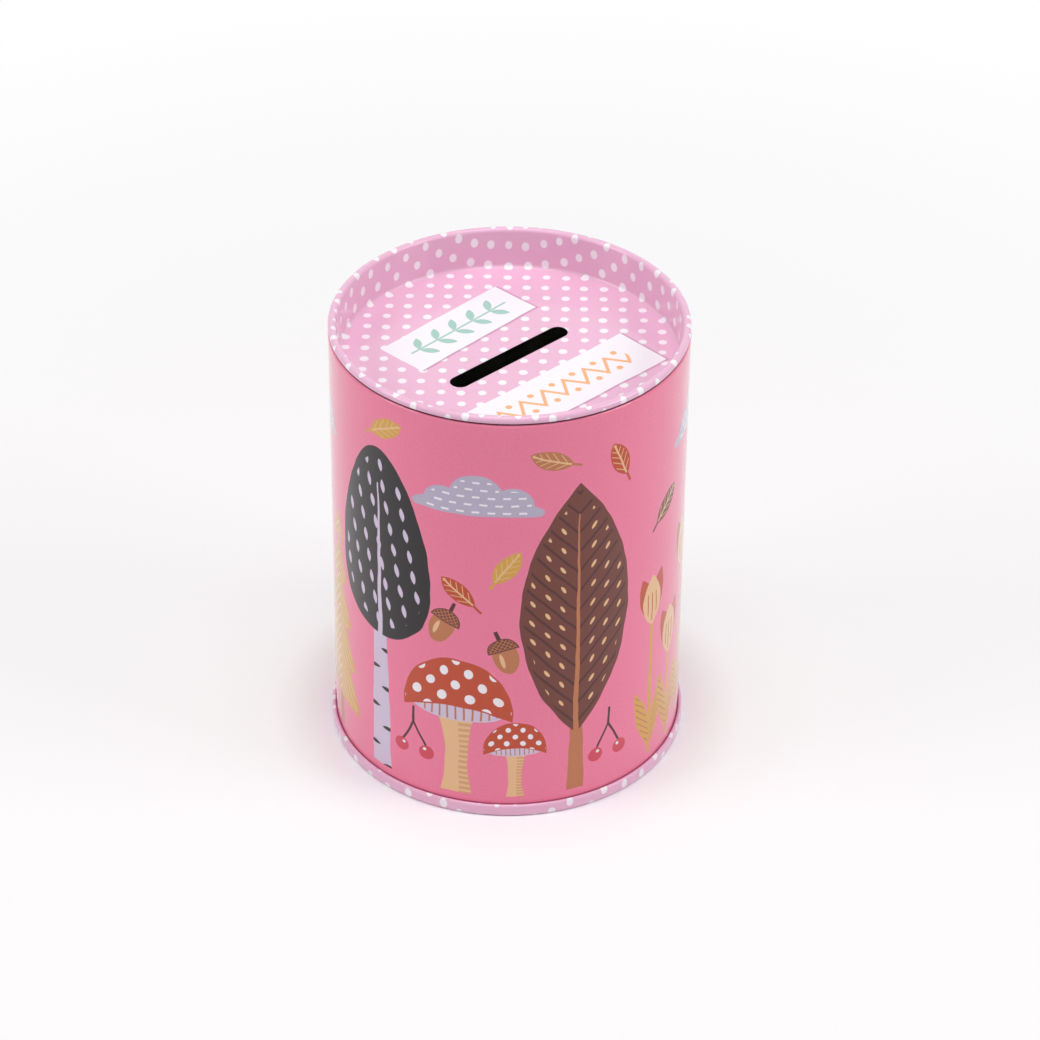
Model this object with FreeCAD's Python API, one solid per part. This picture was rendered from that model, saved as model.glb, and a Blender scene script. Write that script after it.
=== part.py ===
"""Round tin money box: a three-piece tinplate can with a lift-off plug lid.

The side wall is one sheet rolled into a tube and closed by a folded lock seam.
Its top edge is curled inwards to make a smooth mouth, and its foot is hooked
into the base by a double seam.  The lid is a pressed cup whose curled rim sits
on the mouth, with a coin slot punched in its sunken panel.

Frame: +Z up, origin on the standing surface at the tin's axis, coin slot along
X, lock seam on the +Y side.  Millimetres.
"""

import FreeCAD, Part
import math
import os

# Driving dimensions
SHEET = 0.25                 # tinplate thickness, the same in all three pieces
BODY_RADIUS = 40.0           # outside of the side wall
TOTAL_HEIGHT = 107.5         # standing surface to the crown of the lid's rim
LAYER_GAP = 0.08             # room between the folded layers of a seam
FLAT_TURN = 45.0             # degrees between the flats that stand for a tight bend
HOOK_FLAT_TURN = 60.0        # the same for the wall's hook, which the base hides

# Mouth and lid
MOUTH_CURL_RADIUS = 0.72     # outside of the curl on the wall's top edge
MOUTH_CURL_TURN = 180.0      # degrees that the mouth's edge is rolled through
LID_CURL_RADIUS = 0.92       # outside of the curl on the lid's rim
LID_CURL_TURN = 270.0        # degrees that the lid's edge is rolled through
LID_CLEARANCE = 0.15         # radial room of the lid's plug in the mouth
SEAT_CLEARANCE = 0.02        # between the lid's curl and the mouth that it sits on
LID_RECESS = 10.0            # crown of the rim down to the panel's upper face
LID_CORNER_RADIUS = 1.0      # panel to plug wall, at the middle of the sheet

# Coin slot
SLOT_LENGTH = 34.3           # end to end
SLOT_WIDTH = 4.5             # side to side

# Base and its double seam
SEAM_HEIGHT = 2.97           # visible band at the foot
SEAM_FOOT_FLAT = 0.21        # level stretch between the two bends of the foot
HOOK_CLEARANCE = 0.3         # tip of each hook to the fold that it reaches into
BASE_RISE = 3.8              # standing surface to the upper face of the base's panel
BASE_CORNER_RADIUS = 0.8     # panel to the wall of its recess, at the middle of the sheet

# Lock seam of the side wall
LOCK_WIDTH = 3.5             # between the two folds
LOCK_NOTCH = 4.0             # plain stretch between the lock seam and each worked edge
LOCK_JOG_BEND = 0.35         # bends where the sheet drops under the seam
LOCK_JOG_ANGLE = 60.0        # slope of that drop, in degrees

# Sizes that follow
LAYER = SHEET + LAYER_GAP
WALL_RADIUS = BODY_RADIUS - SHEET / 2
FOLD_OUTSIDE = LAYER + SHEET / 2
MOUTH_RADIUS = BODY_RADIUS - 2 * MOUTH_CURL_RADIUS
PLUG_RADIUS = MOUTH_RADIUS - LID_CLEARANCE - SHEET / 2
LID_CURL_BEND = LID_CURL_RADIUS - SHEET / 2
MOUTH_CURL_BEND = MOUTH_CURL_RADIUS - SHEET / 2
LID_CURL_Z = TOTAL_HEIGHT - LID_CURL_RADIUS
MOUTH_CURL_Z = LID_CURL_Z - LID_CURL_RADIUS - MOUTH_CURL_RADIUS - SEAT_CLEARANCE
LID_PANEL_Z = TOTAL_HEIGHT - LID_RECESS - SHEET / 2
FOOT_BEND = (4 * LAYER - SEAM_FOOT_FLAT) / 2
WALL_FOOT_Z = SHEET + FOLD_OUTSIDE / math.cos(math.radians(HOOK_FLAT_TURN / 2))
COVER_FOLD_Z = SEAM_HEIGHT - FOLD_OUTSIDE
LOCK_BOTTOM = SEAM_HEIGHT + LOCK_NOTCH
LOCK_TOP = MOUTH_CURL_Z - MOUTH_CURL_RADIUS - LOCK_NOTCH
LOCK_JOG_START = LOCK_WIDTH / 2 + 2 * FOLD_OUTSIDE + 2 * LOCK_JOG_BEND
SAME_PLACE = SHEET / 100     # points nearer together than this are one point

ORIGIN = FreeCAD.Vector(0, 0, 0)
UP = FreeCAD.Vector(0, 0, 1)
SIDES = (1, -1)              # left and right of the way that a sheet is followed


def in_section(u, v):
    """A point of a section through the axis: u outwards along X, v up."""
    return FreeCAD.Vector(u, 0, v)


def in_plan(u, v):
    """A point of a section seen from above: u along X, v along Y."""
    return FreeCAD.Vector(u, v, 0)


class Strip:
    """The section of one sheet, followed along its middle, with a face half a sheet to each side.

    A tight bend is drawn as flats that touch the true curve, which keeps the sheet's
    thickness and reach; a wide one is a true arc.
    """

    def __init__(self, u, v, heading, place):
        self.u = u
        self.v = v
        self.heading = math.radians(heading)
        self.place = place
        self.points = {side: [] for side in SIDES}
        self.arc_middles = {}
        self.mark()

    def beside(self, side, turn=0.0):
        """The face beside the present place, on the mitre line of a corner of that turn."""
        reach = side * SHEET / 2 / math.cos(turn / 2)
        across = self.heading + turn / 2
        return self.place(self.u - reach * math.sin(across), self.v + reach * math.cos(across))

    def mark(self, turn=0.0):
        """Ends the present stretch of both faces here."""
        for side in SIDES:
            self.points[side].append(self.beside(side, turn))

    def run(self, length):
        """Goes straight ahead."""
        self.u += length * math.cos(self.heading)
        self.v += length * math.sin(self.heading)
        return self

    def bend(self, radius, degrees, flat_turn=FLAT_TURN):
        """Turns in flats round a tight bend: to the left for positive degrees, to the right for negative."""
        corners = max(1, round(abs(degrees) / flat_turn))
        turn = math.radians(degrees) / corners
        half_flat = radius * math.tan(abs(turn) / 2)
        for _ in range(corners):
            self.run(half_flat)
            self.mark(turn)
            self.heading += turn
            self.run(half_flat)
        return self

    def sweep(self, degrees):
        """Goes that far round the axis along a true arc, anticlockwise for positive degrees."""
        radius = math.hypot(self.u, self.v)
        turn = math.radians(degrees)
        if (self.beside(1) - self.points[1][-1]).Length > SAME_PLACE:
            self.mark()
        start = math.atan2(self.v, self.u)
        start_heading = self.heading
        for share in (0.5, 1.0):
            self.u = radius * math.cos(start + share * turn)
            self.v = radius * math.sin(start + share * turn)
            self.heading = start_heading + share * turn
            if share < 1.0:
                self.arc_middles[len(self.points[1])] = {side: self.beside(side) for side in SIDES}
        self.mark()
        return self

    def side_edges(self, side):
        """The lines and arcs along one face of the sheet."""
        edges = []
        points = self.points[side]
        for index in range(1, len(points)):
            if index in self.arc_middles:
                edge = Part.Arc(points[index - 1], self.arc_middles[index][side], points[index])
            else:
                edge = Part.LineSegment(points[index - 1], points[index])
            edges.append(edge.toShape())
        return edges

    def face(self):
        """The closed section of the sheet."""
        if (self.beside(1) - self.points[1][-1]).Length > SAME_PLACE:
            self.mark()
        ends = [Part.LineSegment(self.points[1][end], self.points[-1][end]).toShape() for end in (0, -1)]
        edges = [*self.side_edges(1), *self.side_edges(-1), *ends]
        return Part.Face(Part.Wire(Part.__sortEdges__(edges)))


def spun(strip):
    """The sheet of that section turned once round the tin's axis."""
    return strip.face().revolve(ORIGIN, UP, 360)


def joined(first, *others):
    """Pieces of one sheet made into a single clean solid."""
    return first.multiFuse(list(others)).removeSplitter()


def racetrack(half_width, centres, bottom, top):
    """A prism with round ends along X, between two heights."""
    corners = [(-centres, -half_width), (centres, -half_width), (centres, half_width), (-centres, half_width)]
    a, b, c, d = [FreeCAD.Vector(x, y, bottom) for x, y in corners]
    right_end = FreeCAD.Vector(centres + half_width, 0, bottom)
    left_end = FreeCAD.Vector(-centres - half_width, 0, bottom)
    edges = [
        Part.LineSegment(a, b).toShape(),
        Part.Arc(b, right_end, c).toShape(),
        Part.LineSegment(c, d).toShape(),
        Part.Arc(d, left_end, a).toShape(),
    ]
    return Part.Face(Part.Wire(edges)).extrude(UP * (top - bottom))


def wall_mouth():
    """The top of the side wall, with its edge curled inwards."""
    strip = Strip(WALL_RADIUS, LOCK_TOP, 90, in_section)
    strip.run(MOUTH_CURL_Z - LOCK_TOP).bend(MOUTH_CURL_BEND, MOUTH_CURL_TURN)
    return spun(strip)


def wall_foot():
    """The bottom of the side wall, hooked outwards and up for the double seam."""
    hook_top = SEAM_HEIGHT - SHEET - HOOK_CLEARANCE
    strip = Strip(WALL_RADIUS, LOCK_BOTTOM, -90, in_section)
    strip.run(LOCK_BOTTOM - WALL_FOOT_Z).bend(LAYER, 180, HOOK_FLAT_TURN).run(hook_top - WALL_FOOT_Z)
    return spun(strip)


def jog_inwards(strip, depth):
    """Drops a sheet that goes clockwise round the axis to a path that much nearer to it.

    Two equal bends with a straight between them; the straight is as long as it takes
    for the second bend to end along the inner circle.
    """
    radius = math.hypot(strip.u, strip.v)
    strip.bend(LOCK_JOG_BEND, -LOCK_JOG_ANGLE)
    ahead_u = math.cos(strip.heading)
    ahead_v = math.sin(strip.heading)
    centre_u = strip.u - LOCK_JOG_BEND * ahead_v
    centre_v = strip.v + LOCK_JOG_BEND * ahead_u
    along = centre_u * ahead_u + centre_v * ahead_v
    centre_reach = radius - depth + LOCK_JOG_BEND
    excess = centre_u ** 2 + centre_v ** 2 - centre_reach ** 2
    straight = -along - math.sqrt(along ** 2 - excess)
    strip.run(straight)
    tangent = math.atan2(centre_v + straight * ahead_v, centre_u + straight * ahead_u) - math.pi / 2
    back = (tangent - strip.heading + math.pi) % (2 * math.pi) - math.pi
    return strip.bend(LOCK_JOG_BEND, math.degrees(back))


def wall_tube():
    """The middle of the side wall, whose two edges are hooked into each other on the +Y side.

    From the outside inwards the seam has four layers: the end of the outer edge, the hook
    of the inner edge, the hook of the outer edge, and the inner edge passing underneath.
    """
    half_lock = math.degrees(LOCK_WIDTH / 2 / WALL_RADIUS)
    jog_start = math.degrees(LOCK_JOG_START / WALL_RADIUS)
    hook_turn = math.degrees((LOCK_WIDTH - HOOK_CLEARANCE) / WALL_RADIUS)
    start_angle = 90 + jog_start
    start = math.radians(start_angle)
    start_u = WALL_RADIUS * math.cos(start)
    start_v = WALL_RADIUS * math.sin(start)

    outer = Strip(start_u, start_v, start_angle + 90, in_plan)
    outer.sweep(360 - jog_start + half_lock).bend(LAYER, 180).sweep(-hook_turn)

    inner = Strip(start_u, start_v, start_angle - 90, in_plan)
    jog_inwards(inner, 3 * LAYER)
    under_turn = math.degrees(math.atan2(inner.v, inner.u)) - (90 - half_lock)
    inner.sweep(-under_turn).bend(LAYER, 180).sweep(hook_turn)

    height = UP * (LOCK_TOP - LOCK_BOTTOM)
    sheets = [strip.face().extrude(height) for strip in (outer, inner)]
    for sheet in sheets:
        sheet.translate(UP * LOCK_BOTTOM)
    return joined(*sheets)


def side_wall():
    """The rolled side wall: lock-seamed tube, curled mouth and hooked foot, all one sheet."""
    return joined(wall_tube(), wall_mouth(), wall_foot())


def base():
    """The pressed base, folded round the foot of the wall by a double seam."""
    panel_z = BASE_RISE - SHEET / 2
    recess_radius = WALL_RADIUS - LAYER
    foot_z = SHEET / 2 + FOOT_BEND
    hook_bottom = 2 * SHEET + HOOK_CLEARANCE

    strip = Strip(0, panel_z, 0, in_section)
    strip.run(recess_radius - BASE_CORNER_RADIUS).bend(BASE_CORNER_RADIUS, -90)
    strip.run(panel_z - BASE_CORNER_RADIUS - foot_z)
    strip.bend(FOOT_BEND, 90).run(SEAM_FOOT_FLAT).bend(FOOT_BEND, 90)
    strip.run(COVER_FOLD_Z - foot_z).bend(LAYER, 180).run(COVER_FOLD_Z - hook_bottom)
    return spun(strip)


def lid():
    """The plug lid: sunken panel with the punched coin slot, plug wall and curled rim."""
    strip = Strip(0, LID_PANEL_Z, 0, in_section)
    strip.run(PLUG_RADIUS - LID_CORNER_RADIUS).bend(LID_CORNER_RADIUS, 90)
    strip.run(LID_CURL_Z - LID_PANEL_Z - LID_CORNER_RADIUS)
    strip.bend(LID_CURL_BEND, -LID_CURL_TURN)
    centres = (SLOT_LENGTH - SLOT_WIDTH) / 2
    return spun(strip).cut(racetrack(SLOT_WIDTH / 2, centres, LID_PANEL_Z - SHEET, LID_PANEL_Z + SHEET))


PIECES = {"side_wall": side_wall, "base": base, "lid": lid}


def main():
    os.makedirs("parts", exist_ok=True)
    for name, make in PIECES.items():
        shape = make()
        shape.exportStep(os.path.join("parts", name + ".step"))
        box = shape.BoundBox
        print(f"{name}: {len(shape.Solids)} solid, valid {shape.isValid()}, {shape.Volume:.1f} mm3,"
              f" {box.XLength:.2f} x {box.YLength:.2f} x {box.ZLength:.2f} mm")


main()
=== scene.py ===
import math

import bmesh
import bpy
import numpy as np
from bpy.props import FloatProperty, FloatVectorProperty, PointerProperty
from mathutils import Matrix, Vector


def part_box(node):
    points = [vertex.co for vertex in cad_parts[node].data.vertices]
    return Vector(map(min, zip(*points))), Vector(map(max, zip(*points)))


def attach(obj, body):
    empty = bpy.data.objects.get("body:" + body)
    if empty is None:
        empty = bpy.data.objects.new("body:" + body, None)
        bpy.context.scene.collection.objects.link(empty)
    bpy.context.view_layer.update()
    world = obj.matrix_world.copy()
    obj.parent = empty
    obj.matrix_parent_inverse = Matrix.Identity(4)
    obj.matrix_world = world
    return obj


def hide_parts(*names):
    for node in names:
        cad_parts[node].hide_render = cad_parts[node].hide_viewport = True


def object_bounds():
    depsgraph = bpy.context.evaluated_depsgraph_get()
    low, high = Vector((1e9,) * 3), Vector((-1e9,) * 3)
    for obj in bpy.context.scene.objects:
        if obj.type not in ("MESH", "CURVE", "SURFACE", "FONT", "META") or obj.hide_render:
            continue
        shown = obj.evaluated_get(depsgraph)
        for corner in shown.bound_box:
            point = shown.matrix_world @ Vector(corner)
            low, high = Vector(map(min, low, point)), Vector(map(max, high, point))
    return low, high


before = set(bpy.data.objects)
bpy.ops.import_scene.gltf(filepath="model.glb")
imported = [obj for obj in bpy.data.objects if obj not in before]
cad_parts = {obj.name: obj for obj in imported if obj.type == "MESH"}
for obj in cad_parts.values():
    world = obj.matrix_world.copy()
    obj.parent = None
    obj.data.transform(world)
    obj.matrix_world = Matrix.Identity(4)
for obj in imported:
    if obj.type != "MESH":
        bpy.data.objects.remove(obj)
CAD_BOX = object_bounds()

bl_info = {
    "name": "Tin Money Box",
    "version": (1, 0, 0),
    "blender": (4, 5, 0),
    "location": "3D View > Sidebar > Tin",
    "description": "Builds the printed tinplate of a round money box round its frame",
    "category": "Add Mesh",
}

MM = 0.001
_, LID_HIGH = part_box("lid")
BASE_LOW, BASE_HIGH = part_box("base")
WALL_LOW, WALL_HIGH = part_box("side_wall")

PRINT_MAP = "print"          # millimetres on the flat sheet, before it was bent
BAKE_MAP = "OFBake"          # the whole sheet, both faces, laid out in a unit square
BEND_STEP = 10.0             # degrees between the rows of a bend
RUN_STEP = 4 * MM            # between the rows of a straight
SAME_PLACE = 0.001 * MM      # points nearer together than this are merged
SHARP_ANGLE = 50.0           # degrees past which an edge stays sharp
PRINTED_SHARE = 3.0          # room of the printed face in the bake map, against the bare face
SEAM_ANGLE = 90.0            # degrees from +X to the lock seam
MOUTH_CURL_TURN = 180.0      # degrees that the wall's top edge is rolled through
LID_CURL_TURN = 270.0        # the same for the lid's edge


def from_code(code):
    """A printed colour as six hex digits, turned into the linear light that a shader takes."""
    levels = [int(code[place:place + 2], 16) / 255 for place in (0, 2, 4)]
    return tuple(level / 12.92 if level <= 0.04045 else ((level + 0.055) / 1.055) ** 2.4 for level in levels)


def length(name, description, default):
    """A size in metres."""
    return FloatProperty(name=name, description=description, default=default, precision=5,
                         subtype="DISTANCE", unit="LENGTH")


def turn(name, description, degrees):
    """An angle, given in degrees."""
    return FloatProperty(name=name, description=description, default=math.radians(degrees),
                         subtype="ANGLE", unit="ROTATION")


def power(name, description, watts):
    """The strength of a lamp."""
    return FloatProperty(name=name, description=description, default=watts, min=0.0, unit="POWER")


def ink(name, description, code):
    """A printing colour."""
    return FloatVectorProperty(name=name, description=description, default=from_code(code),
                               subtype="COLOR", size=3, min=0.0, max=1.0)


class TinSizes(bpy.types.PropertyGroup):
    """How the three sheets are cut and bent."""

    sheet: length("Sheet", "Thickness of the tinplate", 0.25 * MM)
    wall_radius: length("Wall Radius", "Outside of the side wall", 40.0 * MM)
    layer_gap: length("Layer Gap", "Room between the folded layers of a seam", 0.075 * MM)
    mouth_curl: length("Mouth Curl", "Outside radius of the curl on the wall's top edge", 0.72 * MM)
    lid_curl: length("Lid Curl", "Outside radius of the curl on the lid's rim", 0.92 * MM)
    lid_clearance: length("Lid Clearance", "Radial room of the lid's plug in the mouth", 0.15 * MM)
    lid_recess: length("Lid Recess", "Crown of the rim down to the panel", 10.0 * MM)
    lid_corner: length("Lid Corner", "Bend from the panel to the plug wall", 1.0 * MM)
    slot_length: length("Slot Length", "Coin slot, end to end", 34.3 * MM)
    slot_width: length("Slot Width", "Coin slot, side to side", 4.5 * MM)
    slot_droop: length("Slot Droop", "How far the punch pulled the slot's upper edge down", 0.05 * MM)
    slot_border: length("Slot Border", "Slot's edge to the pressed line round it", 2.1 * MM)
    slot_border_rise: length("Slot Border Rise", "Height of the pressed line round the slot", 0.06 * MM)
    seam_height: length("Seam Height", "Visible band at the foot", 2.97 * MM)
    foot_flat: length("Foot Flat", "Level stretch of the foot", 0.21 * MM)
    hook_clearance: length("Hook Clearance", "Tip of a hook to the fold that it reaches into", 0.3 * MM)
    base_corner: length("Base Corner", "Bend from the base's panel to its recess", 0.8 * MM)
    lock_width: length("Lock Width", "Lock seam, between its two folds", 3.5 * MM)
    lock_notch: length("Lock Notch", "Plain stretch between the lock seam and each worked edge", 4.0 * MM)


class TinInks(bpy.types.PropertyGroup):
    """The colours that the sheets are printed with."""

    wall_pink: ink("Wall Pink", "Ground of the side wall", "f57b9f")
    lid_pink: ink("Lid Pink", "Ground of the lid and the base", "edbad6")
    white: ink("White", "Dots and paper strips", "f9f4f9")
    shade: ink("Strip Shade", "Printed shade beside the paper strips", "b36a98")
    brown: ink("Brown", "Leaf tree and acorn cups", "743a2f")
    dark_brown: ink("Dark Brown", "Veins and twigs", "52241f")
    tan: ink("Tan", "Trunks, nuts and stalks", "c47a50")
    orange: ink("Orange", "Toadstool caps and leaves", "c64a26")
    charcoal: ink("Charcoal", "Birch crown and bark marks", "180f15")
    # Painted shade: the dark that falls in the crevices where the wall meets the lid's rim and the base's
    # seam.
    seam_shade: ink("Seam Shade", "What gathers where two sheets meet", "3a1420")
    lilac: ink("Lilac", "Birch bark and flecks", "d8c8e0")
    grey: ink("Grey", "Clouds", "bfb6cd")
    cream: ink("Cream", "Tulips and toadstool stems", "edc18f")
    mustard: ink("Mustard", "Firs and flower stalks", "dca646")
    coral: ink("Coral", "Berries", "d8455a")
    mint: ink("Mint", "Garland on the upper strip", "a3cdc0")
    peach: ink("Peach", "Zigzag on the lower strip", "f7b27c")
    tinplate: ink("Tinplate", "Bare inside of the sheets", "cfcdc8")


class TinStage(bpy.types.PropertyGroup):
    """Camera and studio light."""

    azimuth: turn("Camera Azimuth", "Way round the tin; 0 looks along +Y", -44.0)
    elevation: turn("Camera Elevation", "Height above the horizon", 35.02)
    roll: turn("Camera Roll", "Lean of the picture", 0.52)
    distance: length("Camera Distance", "Camera to the middle of the picture", 0.885)
    aim_height: length("Aim Height", "Middle of the picture above the floor", 53.41 * MM)
    aim_right: length("Aim Right", "Middle of the picture to the right of the tin's axis", 2.66 * MM)
    focal_length: FloatProperty(name="Focal Length", description="Lens for a 36 mm picture, in millimetres",
                                default=134.64, subtype="DISTANCE_CAMERA", unit="CAMERA")
    room_light: FloatProperty(name="Room Light", description="Even light of the white studio",
                              default=0.25, min=0.0)
    top_light: power("Top Light", "Large soft box overhead", 4.9)
    right_light: power("Right Light", "Soft box on the right", 3.8)
    left_light: power("Left Light", "Soft box on the left", 3.4)
    floor_white: FloatProperty(name="Floor White",
                               description="How far the floor beside the tin is taken to white",
                               default=0.55, min=0.0, max=1.0, subtype="FACTOR")
    floor_tint: ink("Floor", "Pale floor", "fcf9fc")


def eased(share):
    """Smooth step: 3 s squared less 2 s cubed, with s held between 0 and 1."""
    held = np.clip(share, 0.0, 1.0)
    return held * held * (3 - 2 * held)


def followed(start, heading, moves, run_step=RUN_STEP):
    """Middle line of a sheet in section: its points, left-hand normals and distance run.

    A move is a length to go straight, or a pair of radius and degrees to bend, left for positive
    degrees.  A straight goes on along the heading; on a bend the point is the bend's centre plus
    the radius along a direction that turns evenly with the heading.
    """
    place = np.array(start, float)
    angle = math.radians(heading)
    points = [place[None]]
    headings = [np.array([angle])]
    for move in moves:
        if isinstance(move, tuple):
            radius, degrees = move
            steps = max(2, math.ceil(abs(degrees) / BEND_STEP))
            angles = angle + math.radians(degrees) * np.arange(1, steps + 1) / steps
            reach = math.copysign(radius, degrees)
            centre = place + reach * np.array((-math.sin(angle), math.cos(angle)))
            stretch = centre + reach * np.stack((np.sin(angles), -np.cos(angles)), -1)
        else:
            steps = max(1, math.ceil(move / run_step))
            angles = np.full(steps, angle)
            ahead = np.array((math.cos(angle), math.sin(angle)))
            stretch = place + np.outer(move * np.arange(1, steps + 1) / steps, ahead)
        points.append(stretch)
        headings.append(angles)
        place = stretch[-1]
        angle = angles[-1]
    middle = np.concatenate(points)
    headings = np.concatenate(headings)
    normals = np.stack((-np.sin(headings), np.cos(headings)), -1)
    run = np.concatenate(([0.0], np.cumsum(np.hypot(*np.diff(middle, axis=0).T))))
    return middle, normals, run


def round_the_sheet(right, left):
    """Rows along the right face and back along the left face, with the first row again at the end."""
    return np.concatenate((right, left[::-1], right[:1]))


def printed_stretches(count, printed_right):
    """True for the rows of faces that lie on the printed side of a sheet with that many rows to a side."""
    printed = np.zeros(2 * count, bool)
    first = 0 if printed_right else count
    printed[first:first + count - 1] = True
    return printed


def bake_rows(places, printed):
    """Height of each row in the bake map: length along the section, with more room for the printed face."""
    lengths = np.linalg.norm(np.diff(places, axis=0), axis=1) * np.where(printed, PRINTED_SHARE, 1.0)
    heights = np.concatenate(([0.0], np.cumsum(lengths)))
    return heights / heights[-1]


def corners(grid):
    """The four corners of every cell of a grid, in the order of its faces."""
    cells = (grid[:-1, :-1], grid[:-1, 1:], grid[1:, 1:], grid[1:, :-1])
    return np.stack(cells, 2).reshape(-1, *grid.shape[2:])


def sheet_piece(name, points, print_map, bake_map, printed, materials):
    """Makes a piece from a grid of points, rows along the section and columns round the tin.

    The last column repeats the first one's place and the last row the first one's, so they share
    points; poles, where a whole row is one point, are merged.
    """
    rows, columns = points.shape[0] - 1, points.shape[1] - 1
    index = np.arange(rows * columns).reshape(rows, columns)
    index = np.pad(index, ((0, 1), (0, 1)), mode="wrap")
    mesh = bpy.data.meshes.new(name)
    mesh.from_pydata(points[:-1, :-1].reshape(-1, 3).tolist(), [], corners(index).reshape(-1, 4).tolist())
    for label, grid in ((PRINT_MAP, print_map), (BAKE_MAP, bake_map)):
        layer = mesh.uv_layers.new(name=label)
        layer.uv.foreach_set("vector", corners(grid).astype(np.float32).ravel())
    for material in materials:
        mesh.materials.append(material)
    mesh.polygons.foreach_set("material_index", np.repeat(np.where(printed, 0, 1), columns).astype(np.int32))
    mesh.polygons.foreach_set("use_smooth", np.ones(rows * columns, bool))
    shape = bmesh.new()
    shape.from_mesh(mesh)
    bmesh.ops.remove_doubles(shape, verts=shape.verts, dist=SAME_PLACE)
    shape.to_mesh(mesh)
    shape.free()
    mesh.set_sharp_from_angle(angle=math.radians(SHARP_ANGLE))
    piece = bpy.data.objects.new(name, mesh)
    bpy.context.scene.collection.objects.link(piece)
    return piece


def turned_round(reach, height, angles):
    """Surface of revolution: each row is a circle of that reach and height round the Z axis."""
    reach = np.broadcast_to(reach, (height.shape[0], angles.size))
    level = np.broadcast_to(height[:, None], reach.shape)
    return np.stack((reach * np.cos(angles), reach * np.sin(angles), level), -1)


def grid_of(rows, columns):
    """Pairs of a column value and a row value at every point of a grid."""
    return np.stack(np.meshgrid(columns, rows), -1)


class Value:
    """Something that changes over a surface: one node's output, whose arithmetic adds Math nodes.

    & and | take the smaller and the larger of two, which for depths are overlap and union.
    """

    def __init__(self, tree, socket=None):
        self.tree = tree
        self.socket = socket

    def node(self, kind, settings=None, inputs=None, output=0):
        """Adds a node of that kind: its settings are set first, then its sockets' values or links."""
        made = self.tree.nodes.new(kind)
        for name, setting in (settings or {}).items():
            setattr(made, name, setting)
        for name, given in (inputs or {}).items():
            if isinstance(given, Value):
                self.tree.links.new(given.socket, made.inputs[name])
            else:
                made.inputs[name].default_value = given
        return Value(self.tree, made.outputs[output])

    def maths(self, operation, *values):
        return self.node("ShaderNodeMath", {"operation": operation}, dict(enumerate(values)))

    def __add__(self, other):
        return self.maths("ADD", self, other)

    def __sub__(self, other):
        return self.maths("SUBTRACT", self, other)

    def __rsub__(self, other):
        return self.maths("SUBTRACT", other, self)

    def __mul__(self, other):
        return self.maths("MULTIPLY", self, other)

    def __truediv__(self, other):
        return self.maths("DIVIDE", self, other)

    def __rtruediv__(self, other):
        return self.maths("DIVIDE", other, self)

    def __mod__(self, other):
        return self.maths("FLOORED_MODULO", self, other)

    def __and__(self, other):
        return self.maths("MINIMUM", self, other)

    def __or__(self, other):
        return self.maths("MAXIMUM", self, other)

    def __abs__(self):
        return self.maths("ABSOLUTE", self)

    __radd__ = __add__
    __rmul__ = __mul__
    __rand__ = __and__
    __ror__ = __or__


# Flat shapes are depths in millimetres: positive inside the outline, and zero on it.

def reach_of(x, y):
    """Distance of (x, y) from the middle."""
    return x.node("ShaderNodeVectorMath", {"operation": "LENGTH"},
                  {0: x.node("ShaderNodeCombineXYZ", None, {0: x, 1: y})}, "Value")


def turned(x, y, degrees):
    """The same place seen from axes turned anticlockwise by that angle."""
    cosine = math.cos(math.radians(degrees))
    sine = math.sin(math.radians(degrees))
    return x * cosine + y * sine, y * cosine - x * sine


def oval(x, y, half_width, half_height):
    """One less the distance on axes scaled to the oval, times its smaller half."""
    return (1 - reach_of(x / half_width, y / half_height)) * min(half_width, half_height)


def leaf(x, y, half_width, half_height):
    """Overlap of two equal circles whose centres lie left and right of the leaf."""
    radius = (half_width ** 2 + half_height ** 2) / (2 * half_width)
    return radius - reach_of(abs(x) + (radius - half_width), y)


def post(x, y, half_foot, half_top, height):
    """Upright strip from y = 0, tapering evenly from its foot to its top."""
    return (y * ((half_top - half_foot) / height) + half_foot - abs(x)) & y & (height - y)


def stripes(across, pitch, half_width):
    """Even stripes: half a width less the distance from the nearest multiple of the pitch."""
    return half_width - abs((across + pitch / 2) % pitch - pitch / 2)


def dots(x, y, pitch_x, pitch_y, radius):
    """Round dots on an even grid: the radius less the distance to the nearest grid point."""
    off_x = (x + pitch_x / 2) % pitch_x - pitch_x / 2
    off_y = (y + pitch_y / 2) % pitch_y - pitch_y / 2
    return radius - reach_of(off_x, off_y)


def staggered(x, y, pitch, radius):
    """Dots on a square grid that is turned by 45 degrees."""
    return dots(*turned(x, y, 45), pitch, pitch, radius)


def inked(depth, blur=0.1):
    """Cover of an ink: 1 inside the outline, 0 outside, and a short even change between."""
    return depth.node("ShaderNodeMath", {"operation": "MULTIPLY_ADD", "use_clamp": True},
                      {0: depth, 1: 1 / blur, 2: 0.5})


def over(picture, colour, cover):
    """Lays an ink on the picture where the cover says."""
    colour = colour if isinstance(colour, Value) else (*colour, 1.0)
    return cover.node("ShaderNodeMix", {"data_type": "RGBA"}, {0: cover, 6: picture, 7: colour}, 2)


def mottled(place, scale, detail=2.0):
    """Cloudy noise from 0 to 1 at that many lumps to the unit."""
    return place.node("ShaderNodeTexNoise", None, {"Vector": place, "Scale": scale, "Detail": detail})


def new_material(name):
    """A material, a point's place on the flat sheet, and the material's shader."""
    material = bpy.data.materials.new(name)
    material.use_nodes = True
    tree = material.node_tree
    sheet = Value(tree).node("ShaderNodeUVMap", {"uv_map": PRINT_MAP})
    return material, sheet, tree.nodes["Principled BSDF"]


def give(shader, **sockets):
    """Sets a shader's sockets, named with underscores: links what varies, and sets numbers directly."""
    for name, given in sockets.items():
        socket = shader.inputs[name.replace("_", " ")]
        if isinstance(given, Value):
            given.tree.links.new(given.socket, socket)
        else:
            socket.default_value = given


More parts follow.
